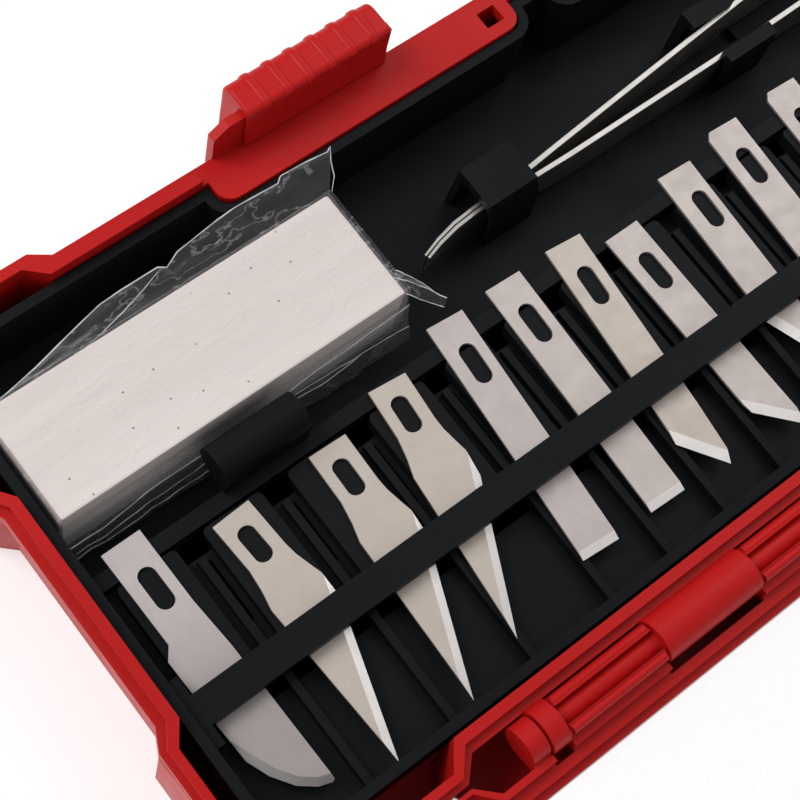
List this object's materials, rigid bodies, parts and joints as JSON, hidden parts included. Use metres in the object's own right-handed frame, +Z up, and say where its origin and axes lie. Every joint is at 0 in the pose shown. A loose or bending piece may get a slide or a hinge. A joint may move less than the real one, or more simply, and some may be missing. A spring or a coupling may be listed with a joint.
{
  "type": "craft knife and cutter set in a hinged case",
  "caption": "Open hinged case with interchangeable cutter blades held under a bar, a wrapped stone, tweezers and collet handles.",
  "frame": {"origin": "centre of the open case's footprint, on the surface it lies on", "axes": "+X along the hinge line, +Y from the hinge towards the front edge of the half with the blades, +Z up"},
  "size_m": [0.2232, 0.19, 0.0267],
  "materials": {
    "red_shell": "semi-gloss moulded red plastic",
    "red_latch": "semi-gloss moulded red plastic, ribbed",
    "black_insert": "satin black moulded plastic",
    "white_foam": "white closed-cell foam",
    "blade_steel": "ground tool steel with bright bevels",
    "white_stone": "fine-grained white sharpening stone",
    "clear_film": "clear crinkled film",
    "tweezer_steel": "polished spring steel",
    "handle_metal": "satin turned aluminium with a knurled grip",
    "nut_metal": "knurled aluminium",
    "collet_metal": "machined brass"
  },
  "bodies": {
    "base": {"base_shell": "red_shell", "base_tray": "black_insert", "blade_01": "blade_steel", "blade_02": "blade_steel", "blade_03": "blade_steel", "blade_04": "blade_steel", "blade_05": "blade_steel", "blade_06": "blade_steel", "blade_07": "blade_steel", "blade_08": "blade_steel", "blade_09": "blade_steel", "blade_10": "blade_steel", "blade_11": "blade_steel", "blade_12": "blade_steel", "blade_13": "blade_steel", "blade_14": "blade_steel", "blade_15": "blade_steel", "blade_16": "blade_steel", "blade_17": "blade_steel"},
    "lid": {"lid_shell": "red_shell", "lid_foam": "white_foam"},
    "latch_left": {"latch_left": "red_latch"},
    "latch_right": {"latch_right": "red_latch"},
    "stone": {"whetstone": "white_stone", "stone_wrap": "clear_film"},
    "tweezers": {"tweezer_leg_rear": "tweezer_steel", "tweezer_leg_front": "tweezer_steel"},
    "knife_large": {"knife_large_barrel": "handle_metal", "knife_large_collet": "collet_metal", "knife_large_cap": "nut_metal"},
    "nut_large": {"knife_large_nut": "nut_metal"},
    "knife_mid": {"knife_mid_barrel": "handle_metal", "knife_mid_collet": "collet_metal", "knife_mid_cap": "nut_metal"},
    "nut_mid": {"knife_mid_nut": "nut_metal"},
    "knife_small": {"knife_small_barrel": "handle_metal", "knife_small_collet": "collet_metal", "knife_small_cap": "nut_metal"},
    "nut_small": {"knife_small_nut": "nut_metal"}
  },
  "joints": [
    {"name": "lid_hinge", "type": "hinge", "parent": "base", "child": "lid", "pos_m": [0, -0.00185, 0.018], "axis": [1, 0, 0], "range_deg": [-180, 0]},
    {"name": "latch_left_slide", "type": "slide", "parent": "base", "child": "latch_left", "axis": [-1, 0, 0], "range_m": [0, 0.0055]},
    {"name": "latch_right_slide", "type": "slide", "parent": "base", "child": "latch_right", "axis": [1, 0, 0], "range_m": [0, 0.0055]},
    {"name": "stone_lift", "type": "slide", "parent": "base", "child": "stone", "axis": [0, 0, 1], "range_m": [0, 0.03]},
    {"name": "tweezers_slide", "type": "slide", "parent": "base", "child": "tweezers", "axis": [1, 0, 0], "range_m": [0, 0.022]},
    {"name": "knife_large_lift", "type": "slide", "parent": "lid", "child": "knife_large", "axis": [0, 0, 1], "range_m": [0, 0.03]},
    {"name": "nut_large_turn", "type": "hinge", "parent": "knife_large", "child": "nut_large", "pos_m": [0.035, -0.03835, 0.0109], "axis": [1, 0, 0], "continuous": true},
    {"name": "knife_mid_lift", "type": "slide", "parent": "lid", "child": "knife_mid", "axis": [0, 0, 1], "range_m": [0, 0.03]},
    {"name": "nut_mid_turn", "type": "hinge", "parent": "knife_mid", "child": "nut_mid", "pos_m": [0.035, -0.05585, 0.0096], "axis": [1, 0, 0], "continuous": true},
    {"name": "knife_small_lift", "type": "slide", "parent": "lid", "child": "knife_small", "axis": [0, 0, 1], "range_m": [0, 0.03]},
    {"name": "nut_small_turn", "type": "hinge", "parent": "knife_small", "child": "nut_small", "pos_m": [0.035, -0.07185, 0.0086], "axis": [1, 0, 0], "continuous": true}
  ]
}
